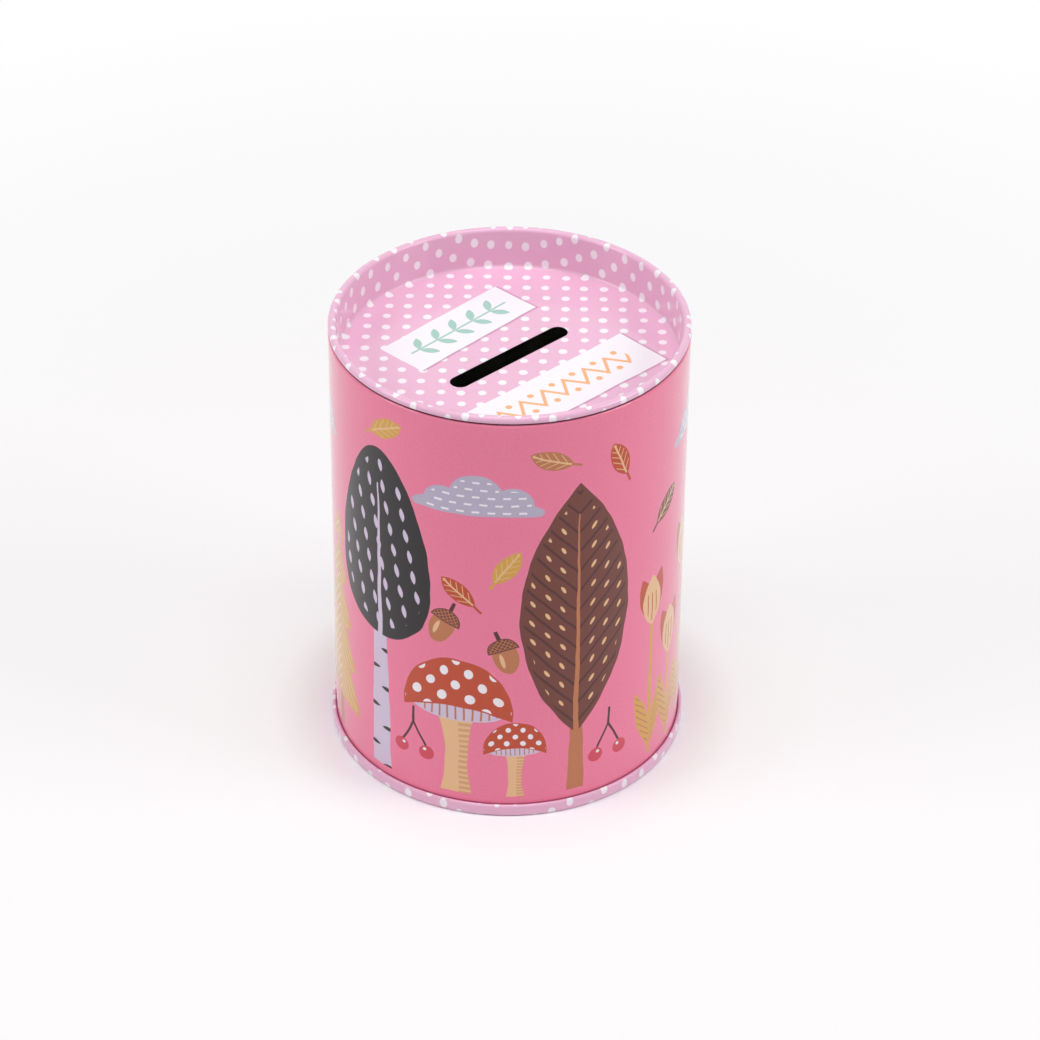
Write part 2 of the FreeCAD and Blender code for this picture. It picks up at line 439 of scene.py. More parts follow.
def split(place):
    """The two numbers of a place on the sheet."""
    return tuple(place.node("ShaderNodeSeparateXYZ", None, {0: place}, axis) for axis in ("X", "Y"))


def hand_drawn(place, amount, scale):
    """Moves a place by a slow wobble, so that outlines look drawn and not ruled."""
    lumps = place.node("ShaderNodeTexNoise", None, {"Vector": place, "Scale": scale, "Detail": 1.0}, "Color")
    swing = place.node("ShaderNodeVectorMath", {"operation": "SUBTRACT"}, {0: lumps, 1: (0.5, 0.5, 0.5)})
    return place.node("ShaderNodeVectorMath", {"operation": "MULTIPLY_ADD"},
                      {0: swing, 1: (2 * amount, 2 * amount, 0.0), 2: place})


LINES_ALONG, LINES_ACROSS = 0.06, 2.4  # lines of the rolling mill, to the millimetre
POLISH_LUMPS = 0.12          # lumps of the uneven polish, to the millimetre
DULL_TIN = 0.72              # brightness of the dull spots, against the bright ones
LINE_DEPTH = 0.05 * MM


def bare_tin(inks):
    """Bare tinplate: bright metal with faint lines from the rolling mill and a mottled polish."""
    material, sheet, shader = new_material("bare_tin")
    x, y = split(sheet)
    stretched = sheet.node("ShaderNodeCombineXYZ", None, {0: x * LINES_ALONG, 1: y * LINES_ACROSS})
    lines = mottled(stretched, 1.0, 3.0)
    polish = mottled(sheet, POLISH_LUMPS)
    dull = tuple(DULL_TIN * level for level in inks.tinplate)
    metal = over((*dull, 1.0), tuple(inks.tinplate), inked(lines * 0.6 + polish * 0.6 - 0.6, 0.5))
    bump = lines.node("ShaderNodeBump", None, {"Strength": 0.08, "Distance": LINE_DEPTH, "Height": lines})
    give(shader, Base_Color=metal, Metallic=1.0, Roughness=0.24 + 0.16 * polish + 0.05 * lines, Normal=bump)
    return material


SMEAR_LUMPS = 90.0           # smears on the varnish, to the metre
SKIN_LUMPS = 2600.0          # the varnish's own fine skin
SKIN_DEPTH = 0.05 * MM
SWELL_LUMPS = 55.0           # soft unevenness of the sheet
SWELL_DEPTH = 0.4 * MM


def varnished(material, sheet, shader, picture):
    """Finishes a printed face: satin varnish with a fine skin and faint smears, on an uneven sheet."""
    place = sheet.node("ShaderNodeTexCoord", None, None, "Object")
    smears = mottled(place, SMEAR_LUMPS, 4.0)
    skin = mottled(place, SKIN_LUMPS, 1.0)
    swell = mottled(place, SWELL_LUMPS, 1.0)
    fine = skin.node("ShaderNodeBump", None, {"Strength": 0.05, "Distance": SKIN_DEPTH, "Height": skin})
    bump = swell.node("ShaderNodeBump", None,
                      {"Strength": 0.10, "Distance": SWELL_DEPTH, "Height": swell, "Normal": fine})
    give(shader, Base_Color=picture, Roughness=0.24 + 0.14 * smears, Normal=bump, Specular_IOR_Level=0.1,
         Coat_Weight=1.0, Coat_IOR=1.4, Coat_Roughness=0.07)
    return material


DOT_PITCH = 4.41             # polka dots, along the rows of their grid
DOT_RADIUS = 0.94
DOT_START = (22.8, 24.6)     # one dot, from the lid's axis
DOT_JITTER = 0.22            # how far a dot may be off its grid point


def polka_dots(sheet, blank, white):
    """White dots on a square grid turned by 45 degrees, each a little off its place and size."""
    x, y = split(sheet)
    across, along = turned(x - DOT_START[0], y - DOT_START[1], 45)
    across = across / DOT_PITCH + 0.5
    along = along / DOT_PITCH + 0.5
    cell = sheet.node("ShaderNodeCombineXYZ", None,
                      {0: across.maths("FLOOR", across), 1: along.maths("FLOOR", along)})
    chance = cell.node("ShaderNodeTexWhiteNoise", {"noise_dimensions": "2D"}, {"Vector": cell}, "Color")
    chance_x, chance_y = split(chance)
    off_x = (across % 1.0 - 0.5) * DOT_PITCH + (chance_x - 0.5) * (2 * DOT_JITTER)
    off_y = (along % 1.0 - 0.5) * DOT_PITCH + (chance_y - 0.5) * (2 * DOT_JITTER)
    radius = DOT_RADIUS * (0.94 + 0.12 * chance_x)
    return over(blank, white, inked(radius - reach_of(off_x, off_y), 0.25))


STRIPS = {                   # paper strips on the lid's panel: middle, halves and turn
    "upper": ((-0.1, 16.3), (18.4, 6.4), 3.1),
    "lower": ((-1.3, -17.2), (26.0, 7.2), 0.0),
}
STRIP_WOBBLE = (0.35, 0.09)  # how far its edges wander, and in how many lumps to the millimetre
SHADE_RIGHT, SHADE_DOWN = 0.35, 0.45
GARLAND_REACH = 15.0         # from the upper strip's middle
ZIGZAG_REACH = 21.0          # from the lower strip's middle


def paper_strip(sheet, picture, strip, inks):
    """A white strip with a narrow printed shade along its right and lower edges; returns its own axes too."""
    (middle_x, middle_y), (half_width, half_height), degrees = strip
    x, y = split(hand_drawn(sheet, *STRIP_WOBBLE))
    x, y = turned(x - middle_x, y - middle_y, degrees)
    shade = (half_width - abs(x - SHADE_RIGHT)) & (half_height - abs(y + SHADE_DOWN))
    picture = over(picture, tuple(inks.shade), 0.75 * inked(shade, 0.7))
    picture = over(picture, tuple(inks.white), inked((half_width - abs(x)) & (half_height - abs(y)), 0.12))
    return picture, x, y


def garland(picture, x, y, half_length, colour):
    """Pairs of small leaves along a line."""
    pitch = 5.6
    step = (x + pitch / 2) % pitch - pitch / 2
    pair = leaf(*turned(step, abs(y) - 2.0, -38), 0.95, 2.3)
    line = 0.28 - abs(y)
    ends = half_length - abs(x)
    return over(picture, colour, inked((pair | line) & ends, 0.15))


def zigzag(picture, x, y, half_length, colour):
    """A folded line with a dot in each hollow."""
    pitch = 6.4
    wave = abs((x + pitch / 2) % pitch - pitch / 2) - pitch / 4
    line = 0.42 - abs(y - wave * 1.5) * 0.6
    above = 0.75 - reach_of((x + pitch / 2) % pitch - pitch / 2, y - 2.6)
    below = 0.75 - reach_of(x % pitch - pitch / 2, y + 2.6)
    ends = half_length - abs(x)
    return over(picture, colour, inked((line | above | below) & ends, 0.15))


def lid_print(inks):
    """Dotted pink with two paper strips that hold a leaf garland and a zigzag."""
    material, sheet, shader = new_material("dotted_lid_print")
    picture = polka_dots(sheet, (*inks.lid_pink, 1.0), tuple(inks.white))
    picture, x, y = paper_strip(sheet, picture, STRIPS["upper"], inks)
    picture = garland(picture, x, y, GARLAND_REACH, tuple(inks.mint))
    picture, x, y = paper_strip(sheet, picture, STRIPS["lower"], inks)
    picture = zigzag(picture, x, y, ZIGZAG_REACH, tuple(inks.peach))
    return varnished(material, sheet, shader, picture)


def base_print(inks):
    """The lid's dotted pink, without strips."""
    material, sheet, shader = new_material("dotted_base_print")
    return varnished(material, sheet, shader, polka_dots(sheet, (*inks.lid_pink, 1.0), tuple(inks.white)))


def fir(picture, u, v, inks):
    """Fir of five tiers: half the width falls evenly to the tip, with a step out at each tier."""
    height, half_foot, tiers, step = 56.0, 9.0, 5, 3.2
    y = v - 8.0
    tier = (y / (height / tiers)) % 1.0
    half_width = half_foot - y * (half_foot / height) - tier * step + step / 2
    crown = (half_width - abs(u)) & y & (height - y)
    picture = over(picture, tuple(inks.tan), inked(post(u, v, 1.5, 1.3, 10.0)))
    picture = over(picture, tuple(inks.mustard), inked(crown))
    hatch = stripes(y * 0.8 + abs(u), 2.3, 0.26)
    return over(picture, tuple(inks.cream), inked(hatch & (crown - 0.6)))


def birch(picture, u, v, inks):
    """Birch: pale bark with dark marks, and an egg of dark leaves with pale flecks."""
    bark = post(u, v, 2.9, 1.7, 58.0)
    picture = over(picture, tuple(inks.lilac), inked(bark))
    pitch = 5.5
    odd = v.maths("GREATER_THAN", (v + pitch / 2) % (2 * pitch), pitch)
    side = u * (1 - 2 * odd)
    marks = leaf((v + pitch / 2) % pitch - pitch / 2, side - 2.1, 0.55, 1.9)
    picture = over(picture, tuple(inks.charcoal), inked(marks & (bark + 0.05)))
    y = v - 62.0
    crown = oval(u * (1 + 0.012 * y), y, 13.5, 25.0)
    picture = over(picture, tuple(inks.charcoal), inked(crown))
    flecks = leaf((u + y * 0.18 + 2.2) % 4.4 - 2.2, (y + 2.6) % 5.2 - 2.6, 0.62, 1.7)
    picture = over(picture, tuple(inks.lilac), inked(flecks & (crown - 1.5)))
    stem = post(u, v - 34.0, 0.75, 0.2, 44.0)
    return over(picture, tuple(inks.lilac), inked(stem))


def leaf_tree(picture, u, v, inks):
    """Tree in the shape of one tall leaf, with veins that rise from its middle."""
    picture = over(picture, tuple(inks.tan), inked(post(u, v, 2.1, 1.2, 30.0)))
    y = v - 50.0
    crown = leaf(u, y, 13.2, 34.0)
    picture = over(picture, tuple(inks.brown), inked(crown))
    veins = stripes(y - abs(u) * 1.1, 5.2, 0.42)
    picture = over(picture, tuple(inks.dark_brown), inked(veins & (crown - 0.9)))
    seeds = dots(abs(u) - 3.6, y - abs(u) * 1.1 - 2.6, 3.4, 5.2, 0.62)
    picture = over(picture, tuple(inks.cream), inked(seeds & (crown - 1.6) & (abs(u) - 1.6)))
    return over(picture, tuple(inks.tan), inked(post(u, y + 34.0, 0.7, 0.15, 60.0)))


def toadstool(picture, u, v, size, inks):
    """Toadstool: waisted stem, gills, and a spotted half-oval cap."""
    x = u / size
    y = v / size
    blur = 0.1 / size
    stem = (2.6 + 0.012 * (y - 10.0) * (y - 10.0) - abs(x)) & y & (26.0 - y)
    picture = over(picture, tuple(inks.cream), inked(stem, blur))
    shade = stem & (x - 0.6)
    picture = over(picture, tuple(inks.tan), 0.45 * inked(shade & stripes(y, 1.5, 0.4), blur))
    gills = oval(x, y - 23.0, 11.0, 2.6)
    picture = over(picture, tuple(inks.lilac), inked(gills, blur))
    picture = over(picture, tuple(inks.tan), inked(stripes(x, 1.9, 0.22) & (gills - 0.3), blur))
    cap = oval(x, y - 23.0, 13.0, 14.5) & (y - 23.0 + 0.02 * x * x - 1.4)
    picture = over(picture, tuple(inks.orange), inked(cap, blur))
    spots = staggered(x * (1 + 0.02 * (y - 23.0)), y - 23.4, 4.9, 1.25)
    return over(picture, tuple(inks.white), inked(spots & (cap - 0.4), blur))


def tulip(picture, u, v, height, inks):
    """Tulip: three overlapping petals on a stalk with two leaves."""
    picture = over(picture, tuple(inks.mustard), inked(post(u, v, 0.6, 0.5, height)))
    blades = leaf(*turned(abs(u) - 2.6, v - 11.0, -16), 1.9, 9.5)
    picture = over(picture, tuple(inks.mustard), inked(blades))
    picture = over(picture, tuple(inks.tan), inked(stripes(v - abs(u), 1.7, 0.2) & (blades - 0.35)))
    y = v - height - 4.0
    outer = leaf(*turned(abs(u) - 1.7, y, -17), 2.5, 7.0)
    picture = over(picture, tuple(inks.orange), inked(outer))
    middle = leaf(u, y + 0.6, 3.3, 6.9)
    picture = over(picture, tuple(inks.cream), inked(middle))
    return over(picture, tuple(inks.orange), inked(stripes(u, 1.5, 0.17) & (middle - 0.9) & (1.5 - y)))


def cloud(picture, u, v, inks):
    """Cloud of three round heaps on a level foot, with rows of short dashes."""
    body = oval(u, v - 1.0, 15.0, 3.0)
    for middle_u, middle_v, radius in ((0.0, 4.0, 6.4), (8.0, 2.6, 4.8), (-7.6, 2.2, 4.2)):
        body = body | (radius - reach_of(u - middle_u, v - middle_v))
    body = body & v
    picture = over(picture, tuple(inks.grey), inked(body))
    row = v.maths("FLOOR", v / 1.9)
    dash = stripes(u + row * 1.7, 3.4, 0.85) & stripes(v - 0.95, 1.9, 0.24)
    return over(picture, tuple(inks.white), inked(dash & (body - 0.7)))


def acorn(picture, u, v, degrees, inks):
    """Acorn: a nut under a cup with crossed lines, and its stalk."""
    x, y = turned(u, v, degrees)
    picture = over(picture, tuple(inks.dark_brown), inked(post(x, y - 3.5, 0.5, 0.4, 3.2)))
    picture = over(picture, tuple(inks.tan), inked(oval(x, y + 0.6, 2.9, 4.8)))
    picture = over(picture, tuple(inks.cream), inked(oval(x + 1.0, y + 1.6, 0.5, 2.0)))
    cup = oval(x, y - 1.0, 3.6, 3.4) & (y - 0.9)
    picture = over(picture, tuple(inks.brown), inked(cup))
    lattice = stripes(x + y, 1.1, 0.13) | stripes(x - y, 1.1, 0.13)
    return over(picture, tuple(inks.tan), inked(lattice & (cup - 0.3)))


def fallen_leaf(picture, u, v, degrees, colour, inks):
    """A drifting leaf in the ink of that name, with a pale middle vein."""
    x, y = turned(u, v, degrees)
    blade = leaf(x, y, 2.4, 5.2)
    picture = over(picture, tuple(getattr(inks, colour)), inked(blade | post(x, y + 7.2, 0.3, 0.3, 4.0)))
    vein = (0.22 - abs(x)) | stripes(y - abs(x) * 1.2, 1.9, 0.14)
    return over(picture, tuple(inks.cream), inked(vein & (blade - 0.35)))


def berries(picture, u, v, inks):
    """Two round berries on a forked twig."""
    fork = (0.3 - abs(abs(u) + v * 0.5 - 3.4) * 0.9) & v & (6.8 - v)
    twig = fork | post(u, v - 6.2, 0.35, 0.3, 5.0)
    picture = over(picture, tuple(inks.dark_brown), inked(twig))
    fruit = 1.9 - reach_of(abs(u) - 3.3, v + 0.9)
    picture = over(picture, tuple(inks.coral), inked(fruit))
    return over(picture, tuple(inks.white), inked(0.42 - reach_of(abs(u) - 2.7, v + 0.1)))


REPEATS = 2                  # times that the picture goes round the wall
WOOD = (                     # in the order of drawing: places round and up the wall, and each one's traits
    (fir, ((45.0, 5.0), (32.0, 5.0))),
    (birch, ((63.5, 5.0),)),
    (leaf_tree, ((111.0, 5.0),)),
    (tulip, ((7.0, 5.0, 40.0), (15.5, 5.0, 27.0), (23.5, 5.0, 46.0))),
    (toadstool, ((83.5, 5.0, 1.0), (97.0, 5.0, 0.56))),
    (cloud, ((88.0, 82.0), (30.0, 84.0))),
    (acorn, ((94.5, 45.0, 18.0), (80.5, 51.5, -24.0))),
    (fallen_leaf, ((84.0, 61.0, 48.0, "orange"), (95.0, 68.5, -35.0, "mustard"),
                   (121.0, 92.0, 24.0, "orange"), (12.0, 72.0, -50.0, "brown"),
                   (104.5, 96.0, 70.0, "tan"), (66.0, 98.0, -62.0, "mustard"))),
    (berries, ((119.4, 14.0), (73.0, 15.0))),
)
WALL_WOBBLE = (0.45, 0.14)   # how far outlines wander, and in how many lumps to the millimetre
GRAIN_LUMPS = 1.6            # print grain, to the millimetre
GRAIN_LIFT = 0.06            # how far the grain goes from the ground's pink towards white
# Cover of the painted shade in the crevices at the foot and under the lid's rim.
FOOT_SHADE, MOUTH_SHADE = 0.4, 0.85


def wall_print(inks, wall_radius, foot_line, mouth_line):
    """A wood in flat colours on pink, twice round the wall; the ground has a faint print grain.

    Painted shade darkens it below the foot line and above the mouth line, in the crevices where it meets the
    base and the lid.
    """
    material, sheet, shader = new_material("woodland_wall_print")
    period = 2 * math.pi * wall_radius / MM / REPEATS
    grain = mottled(sheet, GRAIN_LUMPS, 3.0)
    pink = tuple(inks.wall_pink)
    lighter = tuple(level + GRAIN_LIFT * (1 - level) for level in pink)
    picture = over((*pink, 1.0), lighter, inked(grain - 0.5, 0.6))
    u, v = split(hand_drawn(sheet, *WALL_WOBBLE))
    u = u % period
    for draw, places in WOOD:
        for place_u, place_v, *traits in places:
            picture = draw(picture, u - place_u, v - place_v, *traits, inks)
    _, up_the_sheet = split(sheet)
    # Painted shade: the dark crevices where the wall meets the base's seam and the lid's rim.
    picture = over(picture, tuple(inks.seam_shade), FOOT_SHADE * inked(foot_line - up_the_sheet, 0.3))
    picture = over(picture, tuple(inks.seam_shade), MOUTH_SHADE * inked(up_the_sheet - mouth_line, 0.25))
    return varnished(material, sheet, shader, picture)


SEAM_SPREAD = 7.0            # degrees each side of the lock seam that have close columns
SEAM_COLUMNS = 63            # columns in each of those two stretches
WALL_COLUMNS = 230           # columns round the rest of the wall
GROOVE_DEPTH = 0.62 * MM     # of the lock seam, outside
LOCK_FADE = 2 * MM           # stretch at each end in which the lock seam goes over into the plain wall
FOOT_SHADE_RISE = 0.1         # millimetres that the painted shade reaches above the base's seam
MOUTH_SHADE_TURN = 55.0       # degrees round the mouth's curl at which its painted shade begins


def seam_columns():
    """Angles round the wall from the lock seam, close together where the seam is folded."""
    near = np.linspace(0.0, SEAM_SPREAD, SEAM_COLUMNS + 1)
    far = np.linspace(SEAM_SPREAD, 360.0 - SEAM_SPREAD, WALL_COLUMNS + 1)
    return np.radians(np.concatenate((near[:-1], far, near[1:] + far[-1])))


def lock_seam(sizes, angles):
    """Depths of the lock seam at each angle: a groove outside, where a fold ends, and four layers inside.

    Each is a smooth step down and one up again, in millimetres round the wall from the seam's middle.
    """
    layer = sizes.sheet + sizes.layer_gap
    girth = 2 * math.pi * sizes.wall_radius
    around = ((angles * sizes.wall_radius + girth / 2) % girth - girth / 2) / MM
    edge = sizes.lock_width / 2 / MM
    groove = GROOVE_DEPTH * eased((around - edge) / 0.45) * (1 - eased((around - edge - 0.6) / 0.95))
    ridge = 3 * layer * eased((around + edge + 0.5) / 0.3) * (1 - eased((around - edge - 0.55) / 1.0))
    return groove, ridge


class TIN_OT_side_wall(bpy.types.Operator):
    """Rolls the printed side wall, with its curled mouth, hooked foot and lock seam"""

    bl_idname = "tin.side_wall"
    bl_label = "Side Wall"

    def execute(self, context):
        sizes = context.scene.tin_sizes
        inks = context.scene.tin_inks
        layer = sizes.sheet + sizes.layer_gap
        middle_radius = sizes.wall_radius - sizes.sheet / 2
        fold_z = WALL_LOW.z + layer + sizes.sheet / 2
        hook_z = sizes.seam_height - sizes.sheet - sizes.hook_clearance
        curl_z = WALL_HIGH.z - sizes.mouth_curl
        curl_bend = sizes.mouth_curl - sizes.sheet / 2
        middle, normals, run = followed(
            (middle_radius + 2 * layer, hook_z), -90,
            (hook_z - fold_z, (layer, -180), curl_z - fold_z, (curl_bend, MOUTH_CURL_TURN)))
        rows = len(run)
        half = normals * sizes.sheet / 2
        section = round_the_sheet(middle - half, middle + half)
        height = section[:, 1]

        angles = seam_columns()
        groove, ridge = lock_seam(sizes, angles)
        low = sizes.seam_height + sizes.lock_notch
        high = curl_z - sizes.mouth_curl - sizes.lock_notch
        worked = eased((height - low) / LOCK_FADE) * eased((high - height) / LOCK_FADE)
        outside = np.arange(len(height)) % (2 * rows) < rows
        fold = np.where(outside[:, None], groove, ridge) * worked[:, None]

        points = turned_round(section[:, :1] - fold, height, angles + math.radians(SEAM_ANGLE))
        printed = printed_stretches(rows, printed_right=True)
        up_the_sheet = round_the_sheet(run, run) - (hook_z - fold_z + math.pi * layer - fold_z)
        print_map = grid_of(up_the_sheet / MM, angles * sizes.wall_radius / MM)
        bake_map = grid_of(bake_rows(section, printed), angles / (2 * math.pi))
        foot_line = sizes.seam_height / MM + FOOT_SHADE_RISE
        mouth_line = (curl_z + curl_bend * math.radians(MOUTH_SHADE_TURN)) / MM
        materials = (wall_print(inks, sizes.wall_radius, foot_line, mouth_line), bare_tin(inks))
        piece = sheet_piece("printed_side_wall", points, print_map, bake_map, printed, materials)
        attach(piece, "tin")
        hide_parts("side_wall")
        return {"FINISHED"}


STRETCH = 0.83               # flat print to pressed sheet, on the walls that the press drew up
BASE_COLUMNS = 240


class TIN_OT_base(bpy.types.Operator):
    """Presses the dotted base, folded round the foot of the wall"""

    bl_idname = "tin.base"
    bl_label = "Base"

    def execute(self, context):
        sizes = context.scene.tin_sizes
        inks = context.scene.tin_inks
        layer = sizes.sheet + sizes.layer_gap
        panel_z = BASE_HIGH.z - sizes.sheet / 2
        recess_radius = sizes.wall_radius - sizes.sheet / 2 - layer
        flat = recess_radius - sizes.base_corner
        foot_bend = (4 * layer - sizes.foot_flat) / 2
        foot_z = BASE_LOW.z + sizes.sheet / 2 + foot_bend
        fold_z = sizes.seam_height - layer - sizes.sheet / 2
        hook_z = WALL_LOW.z + sizes.sheet + sizes.hook_clearance
        middle, normals, run = followed(
            (0.0, panel_z), 0,
            (flat, (sizes.base_corner, -90), panel_z - sizes.base_corner - foot_z,
             (foot_bend, 90), sizes.foot_flat, (foot_bend, 90),
             fold_z - foot_z, (layer, 180), fold_z - hook_z))
        rows = len(run)
        half = normals * sizes.sheet / 2
        section = round_the_sheet(middle - half, middle + half)
        angles = np.linspace(0.0, 2 * math.pi, BASE_COLUMNS + 1)
        points = turned_round(section[:, :1], section[:, 1], angles)
        printed = printed_stretches(rows, printed_right=True)
        on_blank = np.where(run < flat, run, flat + STRETCH * (run - flat))
        blank = turned_round(round_the_sheet(on_blank, on_blank)[:, None], section[:, 1], angles)
        bake_map = grid_of(bake_rows(section, printed), angles / (2 * math.pi))
        materials = (base_print(inks), bare_tin(inks))
        piece = sheet_piece("dotted_base", points, blank[..., :2] / MM, bake_map, printed, materials)
        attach(piece, "tin")
        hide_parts("base")
        return {"FINISHED"}


LID_COLUMNS = 288
PANEL_ROWS = 9               # rows from the slot's surround to the panel's edge
SLOT_SURROUND = 6.0 * MM     # stretch beside the slot whose rows run along with it
SLOT_STEP = 0.12 * MM        # between those rows
SLOT_LINE = 3.0 * MM         # distance from the slot's edge at which the columns lie evenly
BORDER_SPREAD = 0.45 * MM    # how wide the pressed line round the slot is
DROOP_SPREAD = 0.12 * MM     # how far from its edge the slot is drawn down


def round_the_slot(shares, half_width, centres, middle):
    """Middle points and outward directions along a slot with round ends.

    The share goes by length along the line that lies the given distance from the slot's middle
    line: a quarter turn, a straight back along X, half a turn, a straight, and a quarter turn.
    """
    arc = math.pi * (half_width + middle)
    ends = np.cumsum((0, arc / 2, 2 * centres, arc, 2 * centres, arc / 2))
    along = shares * ends[-1]
    core = np.interp(along, ends, (centres, centres, -centres, -centres, centres, centres))
    angle = np.interp(along, ends, np.radians((0, 90, 90, 270, 270, 360)))
    return np.stack((core, np.zeros_like(core)), -1), np.stack((np.cos(angle), np.sin(angle)), -1)


class TIN_OT_lid(bpy.types.Operator):
    """Presses the dotted lid, with its coin slot, sunken panel, plug wall and curled rim"""

    bl_idname = "tin.lid"
    bl_label = "Lid"

    def execute(self, context):
        sizes = context.scene.tin_sizes
        inks = context.scene.tin_inks
        panel_z = LID_HIGH.z - sizes.lid_recess - sizes.sheet / 2
        mouth_radius = sizes.wall_radius - 2 * sizes.mouth_curl
        plug_radius = mouth_radius - sizes.lid_clearance - sizes.sheet / 2
        flat = plug_radius - sizes.lid_corner
        curl_z = LID_HIGH.z - sizes.lid_curl
        half_width = sizes.slot_width / 2
        centres = (sizes.slot_length - sizes.slot_width) / 2

        # Three stretches of one section: the slot's surround, measured from it; the panel; the drawn wall.
        edge, edge_normals, _ = followed((0.0, panel_z), 0, (SLOT_SURROUND,), SLOT_STEP)
        wall, wall_normals, run = followed(
            (flat, panel_z), 0,
            ((sizes.lid_corner, 90), curl_z - panel_z - sizes.lid_corner,
             (sizes.lid_curl - sizes.sheet / 2, -LID_CURL_TURN)))
        between = np.arange(1, PANEL_ROWS) / PANEL_ROWS
        off_border = (edge[:, 0] - sizes.slot_border) / BORDER_SPREAD
        edge[:, 1] += sizes.slot_border_rise * np.exp(-off_border ** 2)
        share = np.concatenate((np.zeros(len(edge)), between, np.ones(len(wall))))
        from_slot = np.concatenate((edge[:, 0], np.full(len(between) + len(wall), edge[-1, 0])))
        from_axis = np.concatenate((np.full(len(edge) + len(between), flat), wall[:, 0]))
        level = np.concatenate((edge[:, 1], np.full(len(between), panel_z), wall[:, 1]))
        normals = np.concatenate((edge_normals, np.tile((0.0, 1.0), (len(between), 1)), wall_normals))
        stretched = np.concatenate((np.zeros(len(edge) + len(between)), STRETCH * run - wall[:, 0] + flat))
        rows = len(share)
        half = normals * sizes.sheet / 2
        faces = [np.stack((from_slot + side * half[:, 0], from_axis + side * half[:, 0],
                           level + side * half[:, 1], share, stretched), -1) for side in (-1, 1)]
        faces[1][:, 2] -= sizes.slot_droop * np.exp(-from_slot / DROOP_SPREAD)
        section = round_the_sheet(*faces)

        # Each point lies between one beside the slot and one on a circle round the axis, as its share says.
        columns = np.linspace(0.0, 1.0, LID_COLUMNS + 1)
        core, outwards = round_the_slot(columns, half_width, centres, SLOT_LINE)
        angles = columns * 2 * math.pi
        ring = np.stack((np.cos(angles), np.sin(angles)), -1)
        slot_reach, axis_reach, height, blend, extra = (column[:, None, None] for column in section.T)
        beside_slot = core + (half_width + slot_reach) * outwards
        plan = (1 - blend) * beside_slot + blend * axis_reach * ring
        points = np.concatenate((plan, np.broadcast_to(height, (*plan.shape[:2], 1))), -1)
        blank = plan + extra * ring
        printed = printed_stretches(rows, printed_right=False)
        on_panel = section[:, 0] + section[:, 3] * (flat - SLOT_SURROUND)
        across = np.where(section[:, 3] < 1, on_panel, section[:, 1])
        bake_map = grid_of(bake_rows(np.stack((across, section[:, 2]), -1), printed), columns)
        materials = (lid_print(inks), bare_tin(inks))
        piece = sheet_piece("dotted_lid", points, blank / MM, bake_map, printed, materials)
        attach(piece, "lid")
        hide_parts("lid")
        return {"FINISHED"}


def soft_box(name, place, aim, side, watts):
    """A square lamp that faces a point."""
    data = bpy.data.lights.new(name, "AREA")
    data.shape = "SQUARE"
    data.size = side
    data.energy = watts
    lamp = bpy.data.objects.new(name, data)
    lamp.location = place
    lamp.rotation_euler = (Vector(aim) - Vector(place)).to_track_quat("-Z", "Y").to_euler()
    bpy.context.scene.collection.objects.link(lamp)


def seen_ray(start):
    """1 for what the eye sees, straight or in a reflection, and 0 for the light that falls on things."""
    eye, mirrored, through = (start.node("ShaderNodeLightPath", None, None, f"Is {way} Ray")
                              for way in ("Camera", "Glossy", "Transmission"))
    return eye | mirrored | through


def white_room(strength):
    """World: plain white to the eye and in reflections, and even light of the given strength otherwise."""
    world = bpy.data.worlds.new("white_room")
    world.use_nodes = True
    background = world.node_tree.nodes["Background"]
    seen = seen_ray(Value(world.node_tree))
    give(background, Color=(1.0, 1.0, 1.0, 1.0), Strength=strength + seen * (1 - strength))
    bpy.context.scene.world = world


FLOOR_RADIUS = 4.0
FLOOR_RINGS, FLOOR_SPOKES = 8, 64
FLOOR_DROP = 0.05 * MM       # floor below the tin's foot
PARTLY_WHITE = (0.048, 0.014)  # middle and width of the ring in which the floor turns partly white
ALL_WHITE = (0.26, 0.20)     # the same for the ring in which it turns all white
SOFT_BOXES = {               # to the right, to the front and up from the tin's foot, and the box's side
    "top_light": ((0.0, 0.12, 1.1), 0.6),
    "right_light": ((0.82, 0.24, 0.72), 0.45),
    "left_light": ((-0.82, 0.24, 0.72), 0.45),
}


def pale_floor(tint, near_white):
    """Floor that keeps the tin's shadow: to the eye, partly white beside the tin and all white far out."""
    material = bpy.data.materials.new("pale_floor")
    material.use_nodes = True
    tree = material.node_tree
    shader = tree.nodes["Principled BSDF"]
    give(shader, Base_Color=(*tint, 1.0), Roughness=0.9, Specular_IOR_Level=0.0)
    place = Value(tree).node("ShaderNodeTexCoord", None, None, "Object")
    reach = reach_of(*split(place))
    beside, far = (inked(reach - middle, width) for middle, width in (PARTLY_WHITE, ALL_WHITE))
    share = seen_ray(place) * (near_white * beside + (1 - near_white) * far)
    white = place.node("ShaderNodeEmission", None, {"Color": (1.0, 1.0, 1.0, 1.0), "Strength": 1.0})
    mixed = place.node("ShaderNodeMixShader", None, {0: share, 1: Value(tree, shader.outputs[0]), 2: white})
    tree.links.new(mixed.socket, tree.nodes["Material Output"].inputs["Surface"])
    return material


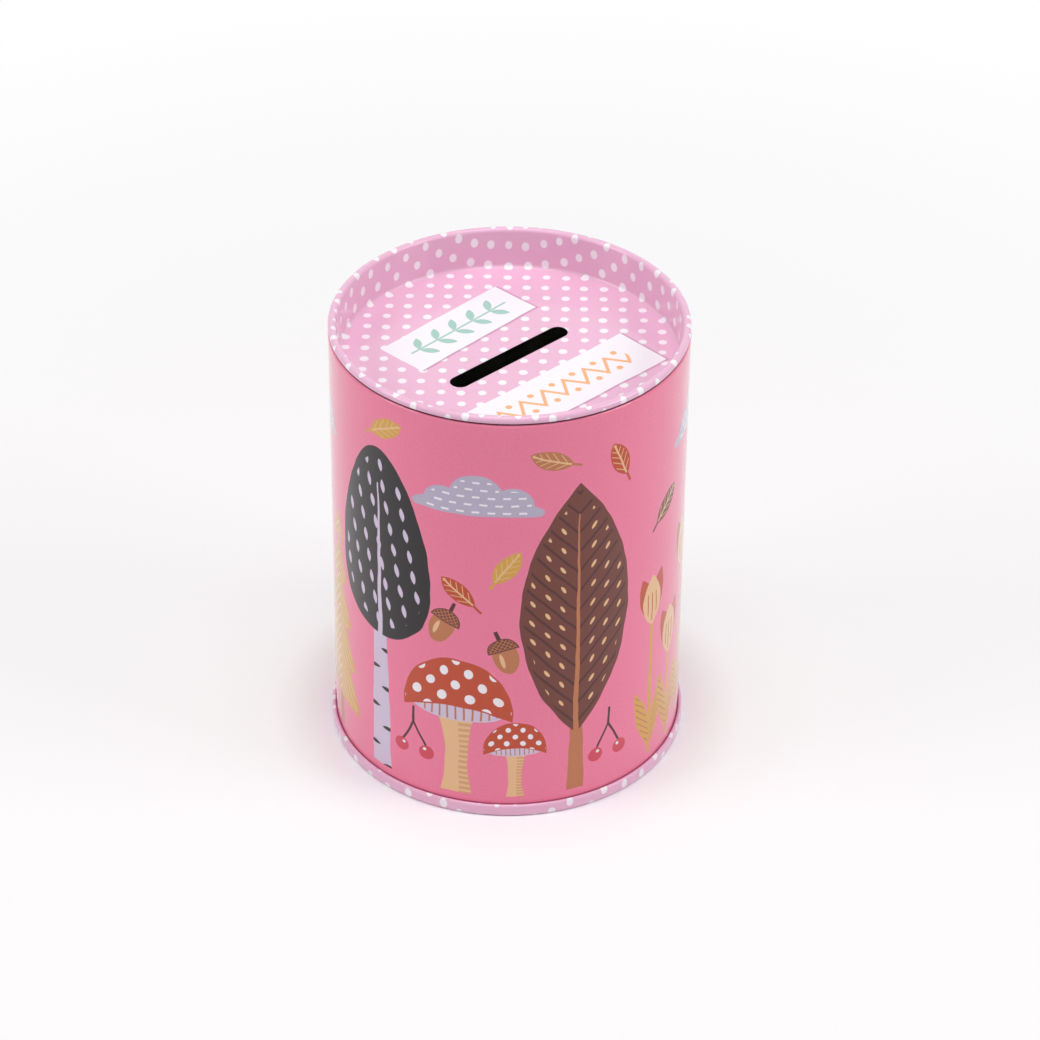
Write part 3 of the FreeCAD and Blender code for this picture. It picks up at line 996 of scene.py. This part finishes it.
class TIN_OT_stage(bpy.types.Operator):
    """Lays the pale floor and sets the studio light and the camera"""

    bl_idname = "tin.stage"
    bl_label = "Stage"

    def execute(self, context):
        scene = context.scene
        stage = scene.tin_stage
        scene.view_settings.view_transform = "Standard"

        # Floor: a flat disc, rings by spokes.
        reach = np.linspace(0.0, FLOOR_RADIUS, FLOOR_RINGS + 1)
        angles = np.linspace(0.0, 2 * math.pi, FLOOR_SPOKES + 1)
        disc = turned_round(reach[:, None], np.full(reach.size, CAD_BOX[0].z - FLOOR_DROP), angles)
        index = np.arange(reach.size * FLOOR_SPOKES).reshape(reach.size, FLOOR_SPOKES)
        index = np.pad(index, ((0, 0), (0, 1)), mode="wrap")
        faces = corners(index).reshape(-1, 4)[:, ::-1]
        mesh = bpy.data.meshes.new("floor")
        mesh.from_pydata(disc[:, :-1].reshape(-1, 3).tolist(), [], faces.tolist())
        mesh.materials.append(pale_floor(stage.floor_tint, stage.floor_white))
        floor = bpy.data.objects.new("floor", mesh)
        scene.collection.objects.link(floor)

        right = Vector((math.cos(stage.azimuth), math.sin(stage.azimuth), 0.0))
        ahead = Vector((-right.y, right.x, 0.0))
        up = Vector((0.0, 0.0, 1.0))
        aim = right * stage.aim_right + up * stage.aim_height
        back = up * math.sin(stage.elevation) - ahead * math.cos(stage.elevation)
        data = bpy.data.cameras.new("camera")
        data.sensor_width = 36.0
        data.lens = stage.focal_length
        camera = bpy.data.objects.new("camera", data)
        facing = (-back).to_track_quat("-Z", "Y").to_matrix() @ Matrix.Rotation(stage.roll, 3, "Z")
        camera.matrix_world = Matrix.Translation(aim + back * stage.distance) @ facing.to_4x4()
        scene.collection.objects.link(camera)
        scene.camera = camera

        white_room(stage.room_light)
        for name, ((to_right, to_front, height), side) in SOFT_BOXES.items():
            place = right * to_right - ahead * to_front + up * height
            soft_box(name, place, aim, side, getattr(stage, name))
        return {"FINISHED"}


PIECE_OPERATORS = (TIN_OT_side_wall, TIN_OT_base, TIN_OT_lid, TIN_OT_stage)


class TIN_PT_money_box(bpy.types.Panel):
    """Pieces of the tin, in the order that they are made"""

    bl_idname = "TIN_PT_money_box"
    bl_label = "Tin Money Box"
    bl_space_type = "VIEW_3D"
    bl_region_type = "UI"
    bl_category = "Tin"

    def draw(self, context):
        for operator in PIECE_OPERATORS:
            self.layout.operator(operator.bl_idname)


GROUPS = {"tin_sizes": TinSizes, "tin_inks": TinInks, "tin_stage": TinStage}
CLASSES = (*GROUPS.values(), *PIECE_OPERATORS, TIN_PT_money_box)


def register():
    for cls in CLASSES:
        bpy.utils.register_class(cls)
    for name, group in GROUPS.items():
        setattr(bpy.types.Scene, name, PointerProperty(type=group))


def unregister():
    for name in GROUPS:
        delattr(bpy.types.Scene, name)
    for cls in reversed(CLASSES):
        bpy.utils.unregister_class(cls)


def main():
    register()
    bpy.ops.tin.side_wall()
    bpy.ops.tin.base()
    bpy.ops.tin.lid()
    bpy.ops.tin.stage()


if __name__ == "__main__":
    main()
